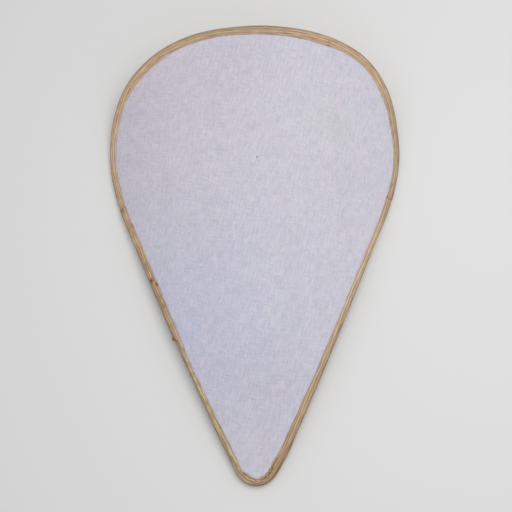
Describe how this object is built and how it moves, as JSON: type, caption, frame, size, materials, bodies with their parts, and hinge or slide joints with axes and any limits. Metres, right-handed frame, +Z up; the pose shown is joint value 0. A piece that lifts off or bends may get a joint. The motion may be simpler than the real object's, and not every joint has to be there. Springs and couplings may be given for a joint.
{
  "type": "kite shield",
  "caption": "Long kite shield, round at the head and narrowing to a blunt point, a bent plywood board faced with plain linen and edged with lapped rawhide strips, lying face up.",
  "frame": {"origin": "middle of the underside of the box round the shield as it lies, on the floor", "axes": "+X to the shield's right seen from its front, +Y towards its head, +Z up out of its face"},
  "size_m": [0.701, 1.0396, 0.1627],
  "materials": {
    "plywood": "bare sanded plywood",
    "linen": "plain undyed linen, glued down taut",
    "rawhide": "dry tan rawhide with darker edges"
  },
  "bodies": {
    "root": {"shield_board": "plywood", "linen_facing": "linen", "rim_head": "rawhide", "rim_right": "rawhide", "rim_left_upper": "rawhide", "rim_left_lower": "rawhide"}
  },
  "joints": []
}
